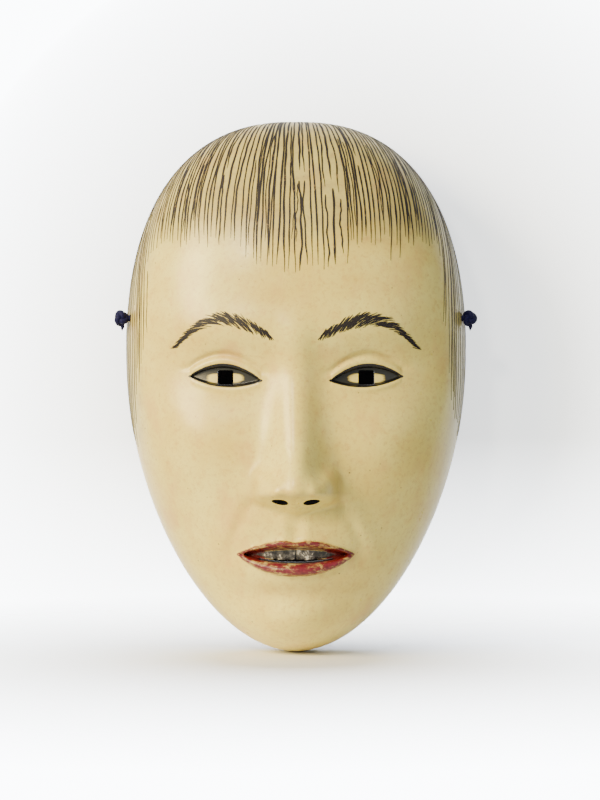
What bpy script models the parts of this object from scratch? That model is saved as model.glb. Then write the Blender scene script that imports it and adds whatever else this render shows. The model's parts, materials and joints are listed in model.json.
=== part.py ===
"""Noh mask: a hollow wooden shell with three fitting pads and two silk cords, stowed in hanks.

Metres, +Z up, the face towards -Y. The origin is below the chin's lowest point, halfway from
the nose's tip to the flat back rim. Everything is placed from the middle of that rim, which
is where the empty mask_middle stands, and hangs on the empty.
"""

import math

import bmesh
import bpy
import numpy as np
from mathutils import Matrix, Vector

# The shell
MASK_HEIGHT = 0.212  # seven sun
MASK_WIDTH = 0.136  # four and a half sun
DOME_DEPTH = 0.053  # the back rim to the plane of the cheeks
WIDEST_ABOVE_MIDDLE = 0.016
CROWN_SQUARENESS = 2.35  # 2 is an ellipse, more is squarer
CHIN_SQUARENESS = 1.9
WALL = 0.008
CROWN_ABOVE_HAIRLINE = 0.026
SHELL_COLUMNS, SHELL_ROWS = 46, 66
HOLLOW_COLUMNS, HOLLOW_ROWS = 26, 36
GRID_CROWDING = 0.35  # how much closer the grid's lines lie in the middle, from 0 to 1

# The nose, lips and openings
NOSE_HEIGHT = 0.0150
NOSE_TIP_HEIGHT = 0.0026
NOSE_WING_ACROSS = 0.0110
NOSTRIL_ACROSS = 0.0068
NOSTRIL_WIDTH, NOSTRIL_HEIGHT = 0.0062, 0.0050
NOSTRIL_SLANT = math.radians(38)  # how steeply a nostril climbs on its way in
EYE_OPENING = 0.0075
EYE_OUTER_LIFT = 0.0016
LID_THICKNESS = 0.0014
EYEBALL_RADIUS = 0.0240
EYEBALL_INWARD = 0.0060  # its middle lies nearer to the nose than the eye's
PUPIL_WIDTH, PUPIL_HEIGHT = 0.0062, 0.0056
MOUTH_WIDTH = 0.044
MOUTH_ABOVE, MOUTH_BELOW = 0.0030, 0.0034
TEETH_DROP = 0.0016  # how far the teeth hang below the line between the lips
TEETH_SET_BACK = 0.0070

# The cords
CORD_DIAMETER = 0.0024
CORD_HOLE_CLEARANCE = 0.0003
CORD_HOLE_ABOVE_MIDDLE = 0.027
CORD_HOLE_FROM_RIM = 0.018
STOP_KNOT_SIZE = (0.0056, 0.0064, 0.0080)
END_KNOT_SIZE = (0.0048, 0.0048, 0.0058)
END_KNOT_ABOVE_HANK = 0.0006  # from the hank's end to the knot's middle
HANK_LENGTH = 20 * CORD_DIAMETER
HANK_FOLD_RADIUS = 3 * CORD_DIAMETER
HANK_TURNS = 6  # side by side
HANK_Y, HANK_ABOVE_MIDDLE = -0.0115, -0.0440  # inside the jaw
HANK_WALL_CLEARANCE = 0.004452  # halfway along, at its front edge; the jaw bends in below
HANK_LEAN = math.radians(18)  # from upright, the way the jaw runs
TIE_WIDTH, TIE_THICKNESS = 0.006, 0.0008
# The right cord's way from its stop knot to its hank; the left one mirrors it.
CORD_ROUTE = [
    (0.0657, -0.0180, 0.0270),
    (0.0602, -0.0180, 0.0270),
    (0.0564, -0.0180, 0.0270),
    (0.0530, -0.0179, 0.0255),
    (0.0515, -0.0173, 0.0220),
    (0.0518, -0.0143, 0.0120),
    (0.0520, -0.0099, 0.0000),
    (0.0509, -0.0064, -0.0110),
    (0.0492, -0.0048, -0.0180),
    (0.0469, -0.0043, -0.0252),
]

# The pads: above the middle, then width, height and thickness
FOREHEAD_PAD = (0.058, 0.050, 0.024, 0.010)
CHEEK_PAD = (-0.018, 0.022, 0.026, 0.008)
CHEEK_PAD_PAST_EYE = 0.0038  # how much further out than the eye's middle
PAD_GLUE = 0.0005  # between a pad and the wall

GAP = 0.0003  # left between pieces that touch
CUT_PAST = 0.006  # how far a cutter runs on past the wall

# Face proportions: hairline, brow, nose base and chin lie a third of the face apart.
CHIN = -MASK_HEIGHT / 2
THIRD = (MASK_HEIGHT - CROWN_ABOVE_HAIRLINE) / 3
NOSE_BASE = CHIN + THIRD
BROW = CHIN + 2 * THIRD
EYE_LINE = BROW - THIRD / 4
MOUTH = NOSE_BASE - THIRD / 3
EYE_WIDTH = MASK_WIDTH / 5  # a face is five eyes wide
NOSE_TIP = NOSE_BASE + 0.0075
NOSE_ROOT = EYE_LINE + 0.0115

# Swellings and hollows of the face: depth, then across, height, half width, half height.
FACE_FORMS = [
    (-0.0072, EYE_WIDTH, EYE_LINE + 0.002, 0.0145, 0.0100),  # eye sockets
    (0.0026, 0.0230, BROW + 0.002, 0.0160, 0.0070),  # brows
    (0.0036, EYE_WIDTH, EYE_LINE, 0.0105, 0.0068),  # eyeballs under their lids
    (0.0026, 0.0370, EYE_LINE - 0.0250, 0.0130, 0.0140),  # cheekbones
    (-0.0014, 0.0420, MOUTH + 0.0060, 0.0110, 0.0160),  # below the cheekbones
    (0.0046, 0.0, MOUTH + 0.0010, 0.0210, 0.0140),  # the mound of the mouth
    (-0.0034, 0.0, MOUTH - 0.0155, 0.0160, 0.0048),  # under the lower lip
    (0.0090, 0.0, CHIN + 0.0150, 0.0170, 0.0110),  # chin
]
HOLLOW_FORMS = [
    (0.0100, 0.0, NOSE_BASE + 0.0140, 0.0070, 0.0120),  # behind the nose
    (0.0030, 0.0, MOUTH, 0.0200, 0.0080),  # behind the lips
    (-0.0040, 0.020, EYE_LINE + 0.002, 0.0130, 0.0100),  # wood left behind the eye sockets
]

COLOURS = {
    "gofun": ((0.80, 0.68, 0.44), 0.38),
    "silk": ((0.012, 0.012, 0.07), 0.75),
    "paper": ((0.78, 0.72, 0.60), 0.90),
    "cotton": ((0.72, 0.68, 0.58), 0.95),
}


def ease(value, low, high):
    share = np.clip((value - low) / (high - low), 0, 1)
    return share * share * (3 - 2 * share)


def outline_reach(angle, inset):
    """From the widest point's height to the mask's outline, or to a line inset from it."""
    lift = np.sin(angle)
    above = MASK_HEIGHT / 2 - WIDEST_ABOVE_MIDDLE - inset
    below = MASK_HEIGHT / 2 + WIDEST_ABOVE_MIDDLE - inset
    square = CHIN_SQUARENESS + (CROWN_SQUARENESS - CHIN_SQUARENESS) * ease(lift, -1, 1)
    across = np.abs(np.cos(angle) / (MASK_WIDTH / 2 - inset)) ** square
    return (across + np.abs(lift / np.where(lift > 0, above, below)) ** square) ** (-1 / square)


def fullness(angle):
    """How boxy the dome is that way: the crown slopes back, the chin stands forward."""
    lift = np.sin(angle)
    return 0.80 + 0.10 * np.clip(lift, 0, 1) ** 2 - 0.06 * np.clip(-lift, 0, 1) ** 2


def swellings(forms, x, z):
    total = np.zeros_like(x)
    for amount, across, up, half_width, half_height in forms:
        sides = {across, -across}
        over = sum(np.exp(-0.5 * ((x - side) / half_width) ** 2) for side in sides)
        total += amount * over * np.exp(-0.5 * ((z - up) / half_height) ** 2)
    return total


def nose(x, z):
    """The bridge, tip and wings, which end in a short cliff above the upper lip."""
    down = np.clip((NOSE_ROOT - z) / (NOSE_ROOT - NOSE_TIP), 0, 1.2)
    bridge = NOSE_HEIGHT * (0.14 + 0.86 * down**1.15) * (1 - ease(z, NOSE_ROOT, NOSE_ROOT + 0.022))
    bridge *= np.exp(-np.abs(x / (0.0062 + 0.0040 * down)) ** 2.4)
    tip = np.exp(-0.5 * ((x / 0.0066) ** 2 + ((z - NOSE_TIP) / 0.0062) ** 2))
    beside = (np.abs(x) - NOSE_WING_ACROSS) / 0.0048
    wings = 0.0072 * np.exp(-0.5 * (beside**2 + ((z - NOSE_TIP + 0.001) / 0.0062) ** 2))
    under = ease(z, NOSE_BASE - 0.0040, NOSE_BASE + 0.0050)
    return (bridge + NOSE_TIP_HEIGHT * tip + wings) * under


def lips(x, z):
    fade = np.clip(1 - (x / (0.54 * MOUTH_WIDTH)) ** 2, 0, 1) ** 0.8
    upper = 0.0024 * np.exp(-0.5 * ((z - MOUTH - 0.0052) / 0.0032) ** 2)
    lower = 0.0030 * np.exp(-0.5 * ((z - MOUTH + 0.0064) / 0.0036) ** 2)
    return fade * (upper + lower)


def face_relief(x, z):
    return swellings(FACE_FORMS, x, z) + nose(x, z) + lips(x, z)


def hollow_relief(x, z):
    return swellings(HOLLOW_FORMS, x, z)


def front_of(x, z, inset, relief):
    """y of a dome's surface in front of (x, z)."""
    x, z = np.asarray(x, float), np.asarray(z, float)
    up = z - WIDEST_ABOVE_MIDDLE
    angle = np.arctan2(up, x)
    full = fullness(angle)
    share = np.clip(np.hypot(x, up) / outline_reach(angle, inset), 0, 1)
    return -(DOME_DEPTH - inset) * (1 - share ** (2 / full)) ** (full / 2) - relief(x, z)


def dome_points(across, up, inset, relief):
    """Points of a dome for places in the square from -1 to 1, whose edge becomes the outline."""
    u, v = across * np.sqrt(1 - up**2 / 2), up * np.sqrt(1 - across**2 / 2)
    angle = np.arctan2(v, u)
    quarter = np.clip(np.hypot(u, v), 0, 1) ** (1 / fullness(angle)) * math.pi / 2
    reach = outline_reach(angle, inset) * np.sin(quarter) ** fullness(angle)
    x, z = reach * np.cos(angle), WIDEST_ABOVE_MIDDLE + reach * np.sin(angle)
    rise = np.clip(np.cos(quarter), 0, 1) ** fullness(angle)
    return x, -(DOME_DEPTH - inset) * rise - relief(x, z) * ease(rise, 0.02, 0.3), z


def clear_scene():
    for item in list(bpy.data.objects):
        bpy.data.objects.remove(item, do_unlink=True)


def mask_depth():
    return -float(front_of(0, NOSE_TIP, 0, face_relief))


def stand_on_chin():
    """Hangs every part and cutter on one empty, so that the chin comes down to z = 0."""
    middle = bpy.data.objects.new("mask_middle", None)
    bpy.context.scene.collection.objects.link(middle)
    for item in bpy.data.objects:
        if item.type == "MESH" or item.type == "CURVE":
            item.parent = middle
    middle.location = (0, mask_depth() / 2, MASK_HEIGHT / 2)


def collection(name):
    made = bpy.data.collections.new(name)
    bpy.context.scene.collection.children.link(made)
    return made


def material(name):
    made = bpy.data.materials.get(name)
    if made is None:
        colour, roughness = COLOURS[name]
        made = bpy.data.materials.new(name)
        made.use_nodes = True
        shader = made.node_tree.nodes["Principled BSDF"]
        shader.inputs["Base Color"].default_value = (*colour, 1)
        shader.inputs["Roughness"].default_value = roughness
        shader.inputs["Metallic"].default_value = 0
    return made


def add(name, data, into, finish=None):
    made = bpy.data.objects.new(name, data)
    into.objects.link(made)
    if finish:
        data.materials.append(material(finish))
    return made


def mesh_from(name, form, smooth=True):
    bmesh.ops.recalc_face_normals(form, faces=form.faces[:])
    data = bpy.data.meshes.new(name)
    form.to_mesh(data)
    form.free()
    if smooth:
        data.shade_smooth()
        data.set_sharp_from_angle(angle=math.radians(40))
    return data


def as_mesh(curve, into):
    """A curve object made a mesh object, with its caps welded."""
    bpy.context.view_layer.update()
    seen = curve.evaluated_get(bpy.context.evaluated_depsgraph_get())
    data = bpy.data.meshes.new_from_object(seen)
    form = bmesh.new()
    form.from_mesh(data)
    bmesh.ops.remove_doubles(form, verts=form.verts[:], dist=1e-6)
    form.to_mesh(data)
    form.free()
    name, place, finish = curve.name, curve.matrix_world.copy(), list(curve.data.materials)
    bpy.data.objects.remove(curve, do_unlink=True)
    made = add(name, data, into)
    data.materials.clear()
    for slot in finish:
        data.materials.append(slot)
    made.matrix_world = place
    return made


def domed_block(name, columns, rows, inset, relief, back):
    """A solid with a domed front, closed flat at y = back."""
    form = bmesh.new()
    bmesh.ops.create_grid(form, x_segments=columns, y_segments=rows, size=1)
    flat = np.array([vertex.co[:2] for vertex in form.verts])
    flat *= 1 - GRID_CROWDING * (1 - flat**2)
    x, y, z = dome_points(flat[:, 0], flat[:, 1], inset, relief)
    for vertex, *place in zip(form.verts, x, y, z):
        vertex.co = place
    rim = [edge for edge in form.edges if edge.is_boundary]
    if back > 0:
        grown = bmesh.ops.extrude_edge_only(form, edges=rim)["geom"]
        for vertex in grown:
            if isinstance(vertex, bmesh.types.BMVert):
                vertex.co.y = back
        rim = [edge for edge in form.edges if edge.is_boundary]
    bmesh.ops.contextual_create(form, geom=rim)
    return mesh_from(name, form)


def flat_outline(name, points, thickness, into, finish=None):
    """A flat outline standing in the XZ plane, thick along Y."""
    data = bpy.data.curves.new(name, "CURVE")
    data.dimensions = "2D"
    data.fill_mode = "BOTH"
    data.extrude = thickness / 2
    line = data.splines.new("POLY")
    line.points.add(len(points) - 1)
    for point, (x, z) in zip(line.points, points):
        point.co = (x, z, 0, 1)
    line.use_cyclic_u = True
    made = add(name, data, into, finish)
    made.rotation_euler = (math.pi / 2, 0, 0)
    return made


def prism_cutter(name, points, front, back, into):
    """A cutter with that outline, from y = front to y = back."""
    made = flat_outline(name, points, back - front, into)
    made.location.y = (front + back) / 2
    return as_cutter(as_mesh(made, into))


def as_cutter(made):
    made.hide_render = True
    made.display_type = "WIRE"
    return made


def cylinder(name, width, height, start, direction, length, into):
    """An oval cylinder cutter from start along direction."""
    form = bmesh.new()
    bmesh.ops.create_cone(form, cap_ends=True, segments=20, radius1=0.5, radius2=0.5, depth=1)
    along = Vector(direction).normalized()
    turn = along.to_track_quat("Z", "Y").to_matrix().to_4x4()
    size = Matrix.Diagonal((width, height, length, 1))
    middle = Matrix.Translation(Vector(start) + along * length / 2)
    bmesh.ops.transform(form, matrix=middle @ turn @ size, verts=form.verts[:])
    return as_cutter(add(name, mesh_from(name, form, smooth=False), into))


def take_away(made, cutter):
    cut = made.modifiers.new(cutter.name, "BOOLEAN")
    cut.operation = "DIFFERENCE"
    cut.solver = "EXACT"
    cut.object = cutter


def eye_outline(side, steps=10):
    """An almond from the inner corner over the upper lid and back along the lower one."""
    inner = EYE_WIDTH / 2
    points = []
    for lid, height in ((1, 0.62 * EYE_OPENING), (-1, 0.38 * EYE_OPENING)):
        shares = [step / steps for step in range(steps)]
        for share in shares if lid > 0 else [1 - share for share in shares]:
            lift = EYE_OUTER_LIFT * share + lid * height * math.sin(math.pi * share) ** 0.85
            points.append((side * (inner + EYE_WIDTH * share), EYE_LINE + lift))
    return points


def lens_outline(half_width, above, below, steps=12):
    """The opening between the lips: two arcs that meet at the corners."""
    points = []
    for way, height in ((1, above), (-1, below)):
        for step in range(steps):
            share = way * (1 - 2 * step / steps)
            points.append((half_width * share, MOUTH + way * height * (1 - share**2) ** 0.7))
    return points


def eye_recess(side, cutters):
    """The almond cut back to the eyeball, so that the lids stand proud of it."""
    centre_y = float(front_of(side * EYE_WIDTH, EYE_LINE, 0, face_relief))
    block = prism_cutter(
        f"eye_recess_{side}", eye_outline(side), centre_y - 0.02, centre_y + EYEBALL_RADIUS, cutters
    )
    form = bmesh.new()
    bmesh.ops.create_uvsphere(form, u_segments=32, v_segments=20, radius=EYEBALL_RADIUS)
    ball = as_cutter(add(f"eyeball_{side}", mesh_from(f"eyeball_{side}", form), cutters))
    across = side * (EYE_WIDTH - EYEBALL_INWARD)
    ball.location = (across, centre_y + LID_THICKNESS + EYEBALL_RADIUS, EYE_LINE)
    take_away(block, ball)
    return block


def mask_shell(into, cutters):
    """The block carved in front, hollowed from the back and then pierced."""
    data = domed_block("mask_shell", SHELL_COLUMNS, SHELL_ROWS, 0, face_relief, 0)
    shell = add("mask_shell", data, into, "gofun")
    hollow = domed_block("hollow", HOLLOW_COLUMNS, HOLLOW_ROWS, WALL, hollow_relief, CUT_PAST)
    take_away(shell, as_cutter(add("hollow", hollow, cutters)))
    for side in (-1, 1):
        take_away(shell, eye_recess(side, cutters))
        pupil = [
            (side * EYE_WIDTH + across * PUPIL_WIDTH / 2, EYE_LINE + 0.0012 + up * PUPIL_HEIGHT / 2)
            for across, up in ((-1, -1), (1, -1), (1, 1), (-1, 1))
        ]
        front = float(front_of(side * EYE_WIDTH, EYE_LINE, 0, face_relief)) - CUT_PAST
        back = float(front_of(side * EYE_WIDTH, EYE_LINE, WALL, hollow_relief)) + CUT_PAST
        take_away(shell, prism_cutter(f"pupil_{side}", pupil, front, back, cutters))
        way_in = (0, math.cos(NOSTRIL_SLANT), math.sin(NOSTRIL_SLANT))
        start = Vector((side * NOSTRIL_ACROSS, -DOME_DEPTH - NOSE_HEIGHT * 0.9, NOSE_BASE - 0.0045))
        nostril = cylinder(
            f"nostril_{side}", NOSTRIL_WIDTH, NOSTRIL_HEIGHT, start, way_in, 0.030, cutters
        )
        take_away(shell, nostril)
        hole = CORD_DIAMETER + 2 * CORD_HOLE_CLEARANCE
        start = (side * (MASK_WIDTH / 2 - WALL - CUT_PAST), -CORD_HOLE_FROM_RIM, CORD_HOLE_ABOVE_MIDDLE)
        bore = cylinder(
            f"cord_hole_{side}", hole, hole, start, (side, 0, 0), WALL + 2 * CUT_PAST, cutters
        )
        take_away(shell, bore)
    lip_front = float(front_of(0, MOUTH, 0, face_relief))
    lips_open = lens_outline(MOUTH_WIDTH / 2, MOUTH_ABOVE, MOUTH_BELOW)
    teeth_front = lip_front + TEETH_SET_BACK
    take_away(shell, prism_cutter("mouth_pocket", lips_open, -0.09, teeth_front, cutters))
    below_teeth = lens_outline(MOUTH_WIDTH / 2 - 0.001, -TEETH_DROP, MOUTH_BELOW)
    take_away(shell, prism_cutter("voice_slot", below_teeth, -0.09, -0.03, cutters))
    return shell


def pad(name, across, sizes, into):
    """A cushion whose front follows the hollow's wall and whose back is crowned."""
    up, width, height, thickness = sizes
    form = bmesh.new()
    bmesh.ops.create_grid(form, x_segments=12, y_segments=8, size=1)
    flat = np.array([vertex.co[:2] for vertex in form.verts])
    u = flat[:, 0] * np.sqrt(1 - 0.25 * flat[:, 1] ** 2)
    v = flat[:, 1] * np.sqrt(1 - 0.25 * flat[:, 0] ** 2)
    x, z = across + u * width / 2, up + v * height / 2
    y = front_of(x, z, WALL, hollow_relief) + PAD_GLUE
    for vertex, *place in zip(form.verts, x, y, z):
        vertex.co = place
    for item in bmesh.ops.extrude_face_region(form, geom=form.faces[:])["geom"]:
        if isinstance(item, bmesh.types.BMVert):
            u, v = (item.co.x - across) * 2 / width, (item.co.z - up) * 2 / height
            item.co.y += thickness * (0.45 + 0.55 * (1 - u**4) * (1 - v**4))
    return add(name, mesh_from(name, form), into, "cotton")


def knot(name, size, centre, into):
    form = bmesh.new()
    bmesh.ops.create_uvsphere(form, u_segments=16, v_segments=10, radius=0.5)
    bmesh.ops.scale(form, vec=size, verts=form.verts[:])
    made = add(name, mesh_from(name, form), into, "silk")
    made.location = centre
    return made


def smooth_route(points, step):
    """Places about a step apart on one smooth curve through the points."""
    ends = [2 * points[0] - points[1], *points, 2 * points[-1] - points[-2]]
    fine = []
    for before, start, stop, after in zip(ends, ends[1:], ends[2:], ends[3:]):
        count = max(1, round((stop - start).length / step))
        for number in range(count):
            t = number / count
            bend = 2 * before - 5 * start + 4 * stop - after
            twist = 3 * start - before - 3 * stop + after
            fine.append(start + 0.5 * t * ((stop - before) + t * (bend + t * twist)))
    return [*fine, points[-1]]


def cord_tube(name, side, into):
    data = bpy.data.curves.new(name, "CURVE")
    data.dimensions = "3D"
    data.bevel_depth = CORD_DIAMETER / 2
    data.bevel_resolution = 2
    data.use_fill_caps = True
    places = [Vector((side * x, y, z)) for x, y, z in CORD_ROUTE]
    places = smooth_route(places, 2.2 * CORD_DIAMETER)
    line = data.splines.new("POLY")
    line.points.add(len(places) - 1)
    for point, place in zip(line.points, places):
        point.co = (*place, 1)
    return add(name, data, into, "silk")


def wall_across(y, z, inset, relief):
    """How far out a dome's side wall is, at one depth and height."""
    xs = np.linspace((MASK_WIDTH / 2 - inset) / 4, MASK_WIDTH / 2 - inset, 1200)
    ys = front_of(xs, np.full_like(xs, z), inset, relief)
    return float(xs[np.argmin(np.abs(ys - y))])


def hank_frame(side):
    """Where a hank lies: its length along local Z, its width along local Y, its flat side on X."""
    wall = wall_across(HANK_Y - hank_width() / 2, HANK_ABOVE_MIDDLE, WALL, hollow_relief)
    x = wall - (HANK_WALL_CLEARANCE + hank_thickness() / 2) / math.cos(HANK_LEAN)
    place = Matrix.Translation((side * x, HANK_Y, HANK_ABOVE_MIDDLE))
    return place @ Matrix.Rotation(side * HANK_LEAN, 4, "Y")


def hank_width():
    return 2 * HANK_FOLD_RADIUS + CORD_DIAMETER


def hank_thickness():
    return HANK_TURNS * CORD_DIAMETER


def stadium(length, width, steps=10):
    """An outline with round ends, long along its second number."""
    radius = width / 2
    straight = length / 2 - radius
    points = []
    for way in (1, -1):
        for step in range(steps + 1):
            angle = math.pi * step / steps
            points.append((way * radius * math.cos(angle), way * (straight + radius * math.sin(angle))))
    return points


def hank(name, side, into):
    made = flat_outline(name, stadium(HANK_LENGTH, hank_width()), hank_thickness(), into, "silk")
    lay_across = Matrix.Rotation(math.pi / 2, 4, "Z") @ made.rotation_euler.to_matrix().to_4x4()
    made.rotation_mode = "XYZ"
    made.matrix_world = hank_frame(side) @ lay_across
    return made


def hank_tie(name, side, into):
    """A flat band once round the middle of the hank."""
    form = bmesh.new()
    bmesh.ops.create_cube(form, size=1)
    caps = [face for face in form.faces if abs(face.normal.z) > 0.5]
    bmesh.ops.delete(form, geom=caps, context="FACES_ONLY")
    opening = (hank_thickness() + 2 * GAP, hank_width() + 2 * GAP, TIE_WIDTH)
    bmesh.ops.scale(form, vec=opening, verts=form.verts[:])
    made = add(name, mesh_from(name, form, smooth=False), into, "paper")
    made.matrix_world = hank_frame(side)
    band = made.modifiers.new("band", "SOLIDIFY")
    band.thickness = TIE_THICKNESS
    band.offset = 1
    band.use_even_offset = True
    return made


def main():
    clear_scene()
    parts, cutters = collection("noh_mask"), collection("cutters")
    mask_shell(parts, cutters)
    pad("forehead_pad", 0, FOREHEAD_PAD, parts)
    hole_x = wall_across(-CORD_HOLE_FROM_RIM, CORD_HOLE_ABOVE_MIDDLE, 0, face_relief)
    for side, word in ((1, "right"), (-1, "left")):
        pad(f"cheek_pad_{word}", side * (EYE_WIDTH + CHEEK_PAD_PAST_EYE), CHEEK_PAD, parts)
        out = side * (hole_x + GAP + STOP_KNOT_SIZE[0] / 2)
        at = (out, -CORD_HOLE_FROM_RIM, CORD_HOLE_ABOVE_MIDDLE)
        knot(f"stop_knot_{word}", STOP_KNOT_SIZE, at, parts)
        cord_tube(f"cord_{word}", side, parts)
        hank(f"hank_{word}", side, parts)
        hank_tie(f"hank_tie_{word}", side, parts)
        last_turn = -side * (hank_thickness() - CORD_DIAMETER) / 2
        top = HANK_LENGTH / 2 + END_KNOT_ABOVE_HANK
        at = hank_frame(side) @ Vector((last_turn, -HANK_FOLD_RADIUS, top))
        knot(f"end_knot_{word}", END_KNOT_SIZE, at, parts)
    stand_on_chin()


main()
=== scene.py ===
import functools
import json
import math
import random

import bpy
import numpy as np
from mathutils import Matrix, Vector

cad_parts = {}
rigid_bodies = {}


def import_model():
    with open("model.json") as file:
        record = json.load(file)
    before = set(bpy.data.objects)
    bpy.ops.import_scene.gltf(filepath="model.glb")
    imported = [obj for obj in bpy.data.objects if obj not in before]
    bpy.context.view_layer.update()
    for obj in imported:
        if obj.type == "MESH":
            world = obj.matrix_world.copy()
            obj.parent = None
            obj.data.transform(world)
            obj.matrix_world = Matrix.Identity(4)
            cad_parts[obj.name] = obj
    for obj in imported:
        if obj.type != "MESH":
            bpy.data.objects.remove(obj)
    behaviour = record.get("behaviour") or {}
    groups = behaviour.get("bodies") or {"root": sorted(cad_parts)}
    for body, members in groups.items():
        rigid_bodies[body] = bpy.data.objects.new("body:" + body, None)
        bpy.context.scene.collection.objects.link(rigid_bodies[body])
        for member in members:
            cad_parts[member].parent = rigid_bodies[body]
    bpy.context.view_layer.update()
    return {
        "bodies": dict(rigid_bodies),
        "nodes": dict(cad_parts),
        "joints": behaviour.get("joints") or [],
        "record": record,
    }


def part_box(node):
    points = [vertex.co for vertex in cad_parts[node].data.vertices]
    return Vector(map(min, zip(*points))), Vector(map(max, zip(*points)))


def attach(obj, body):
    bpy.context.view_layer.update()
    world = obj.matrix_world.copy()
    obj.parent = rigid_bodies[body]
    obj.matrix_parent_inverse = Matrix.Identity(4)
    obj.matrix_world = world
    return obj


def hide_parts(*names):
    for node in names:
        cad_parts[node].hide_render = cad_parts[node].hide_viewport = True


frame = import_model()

# Lengths in the dictionaries are millimetres from the middle of the back rim unless a note
# says otherwise: X across, Z up, and depth forward of the rim, towards the viewer.
mm = 0.001
shellLow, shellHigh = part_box("mask_shell")
rimMiddle = Vector((0, shellHigh.y, (shellLow.z + shellHigh.z) / 2))

carving = {
    "height": (shellHigh.z - shellLow.z) / mm,
    "width": (shellHigh.x - shellLow.x) / mm,
    "domeDepth": 53.0,
    "widestHeight": 16.0,
    "crownSquareness": 2.35,  # 2 is an ellipse
    "chinSquareness": 1.9,
    "wall": 8.0,
    "cordHole": 3.0,
    "crownAboveHairline": 26.0,
}
chinZ = -carving["height"] / 2
third = (carving["height"] - carving["crownAboveHairline"]) / 3  # hairline, brow, nose base, chin
noseBase = chinZ + third
browZ = chinZ + 2 * third
eyeZ = browZ - third / 4
mouthZ = noseBase - third / 3
eyeWidth = carving["width"] / 5  # five eyes across


# small helpers

def hexColour(code):
    parts = [int(code[i:i + 2], 16) / 255 for i in (1, 3, 5)]
    return tuple(c / 12.92 if c <= 0.04045 else ((c + 0.055) / 1.055) ** 2.4 for c in parts) + (1,)


def unit(value):
    return np.clip(value, 0, 1)


def ease(value, low, high):
    share = unit((value - low) / (high - low))
    return share * share * (3 - 2 * share)


def spot(x, z, halfWidth, halfHeight):  # 1 in the middle, fading all round
    return np.exp(-0.5 * ((x / halfWidth) ** 2 + (z / halfHeight) ** 2))


def hump(x, z, across, up, halfWidth, halfHeight):  # soft swelling, on both sides when across isn't 0
    over = np.exp(-0.5 * ((x - across) / halfWidth) ** 2)
    if across:
        over = over + np.exp(-0.5 * ((x + across) / halfWidth) ** 2)
    return over * np.exp(-0.5 * ((z - up) / halfHeight) ** 2)


def pickOnly(obj):
    if bpy.context.mode != "OBJECT":
        bpy.ops.object.mode_set(mode="OBJECT")
    bpy.ops.object.select_all(action="DESELECT")
    obj.select_set(True)
    bpy.context.view_layer.objects.active = obj


def named(obj, name):
    obj.name = name
    obj.data.name = name
    return obj


def newGrid(name, columns, rows, size=2):
    bpy.ops.mesh.primitive_grid_add(x_subdivisions=columns, y_subdivisions=rows, size=size)
    return named(bpy.context.object, name)


def coords(obj):
    places = np.empty(len(obj.data.vertices) * 3)
    obj.data.vertices.foreach_get("co", places)
    return places.reshape(-1, 3)


def setCoords(obj, places):
    obj.data.vertices.foreach_set("co", np.ascontiguousarray(places, dtype=float).ravel())
    obj.data.update()


def writeMark(obj, name, values):  # an attribute that its material reads
    mark = obj.data.attributes.new(name, "FLOAT", "POINT")
    mark.data.foreach_set("value", np.ascontiguousarray(values, dtype=np.float32))


def bakePlace(obj):  # its place goes into the mesh, the object stays at the origin
    pickOnly(obj)
    bpy.ops.object.transform_apply(location=True, rotation=True, scale=True)


def applyAll(obj):
    pickOnly(obj)
    for name in [modifier.name for modifier in obj.modifiers]:
        bpy.ops.object.modifier_apply(modifier=name)


def openEdit(obj, kind, action="DESELECT"):  # edit mode on one piece, with nothing or all of it chosen
    pickOnly(obj)
    bpy.ops.object.mode_set(mode="EDIT")
    bpy.ops.mesh.select_mode(type=kind)
    bpy.ops.mesh.select_all(action=action)


def closeEdit(outward=False):  # turns a closed piece's faces outwards if asked
    if outward:
        bpy.ops.mesh.select_all(action="SELECT")
        bpy.ops.mesh.normals_make_consistent(inside=False)
    bpy.ops.object.mode_set(mode="OBJECT")


def choose(obj, kind, chosen):  # edit mode, with only the faces or edges chosen that the list says
    openEdit(obj, kind)
    closeEdit()
    parts = obj.data.polygons if kind == "FACE" else obj.data.edges
    parts.foreach_set("select", chosen)
    bpy.ops.object.mode_set(mode="EDIT")


def joined(pieces, name):
    pickOnly(pieces[0])
    for piece in pieces:
        piece.select_set(True)
    bpy.ops.object.join()
    return named(pieces[0], name)


def toRow(x, depth, z):  # millimetres from the rim's middle to the frame's metres
    return np.stack([x * mm, rimMiddle.y - depth * mm, rimMiddle.z + z * mm], axis=-1)


# the camera

view = {"distance": 1100.0, "picture": 322.0, "right": 1.6, "down": 5.6, "lift": 14.0}  # mm


def placeCamera():
    aim = rimMiddle + Vector((view["right"], 0, -view["down"])) * mm
    bpy.ops.object.camera_add(location=aim + Vector((0, -view["distance"], view["lift"])) * mm)
    camera = bpy.context.object
    camera.name = "camera"
    camera.rotation_euler = (aim - camera.location).to_track_quat("-Z", "Y").to_euler()
    camera.data.sensor_width = 36
    camera.data.lens = 36 * view["distance"] / view["picture"]
    camera.data.clip_start = 0.01
    bpy.context.scene.camera = camera


placeCamera()
print("camera placed")


# materials

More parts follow.
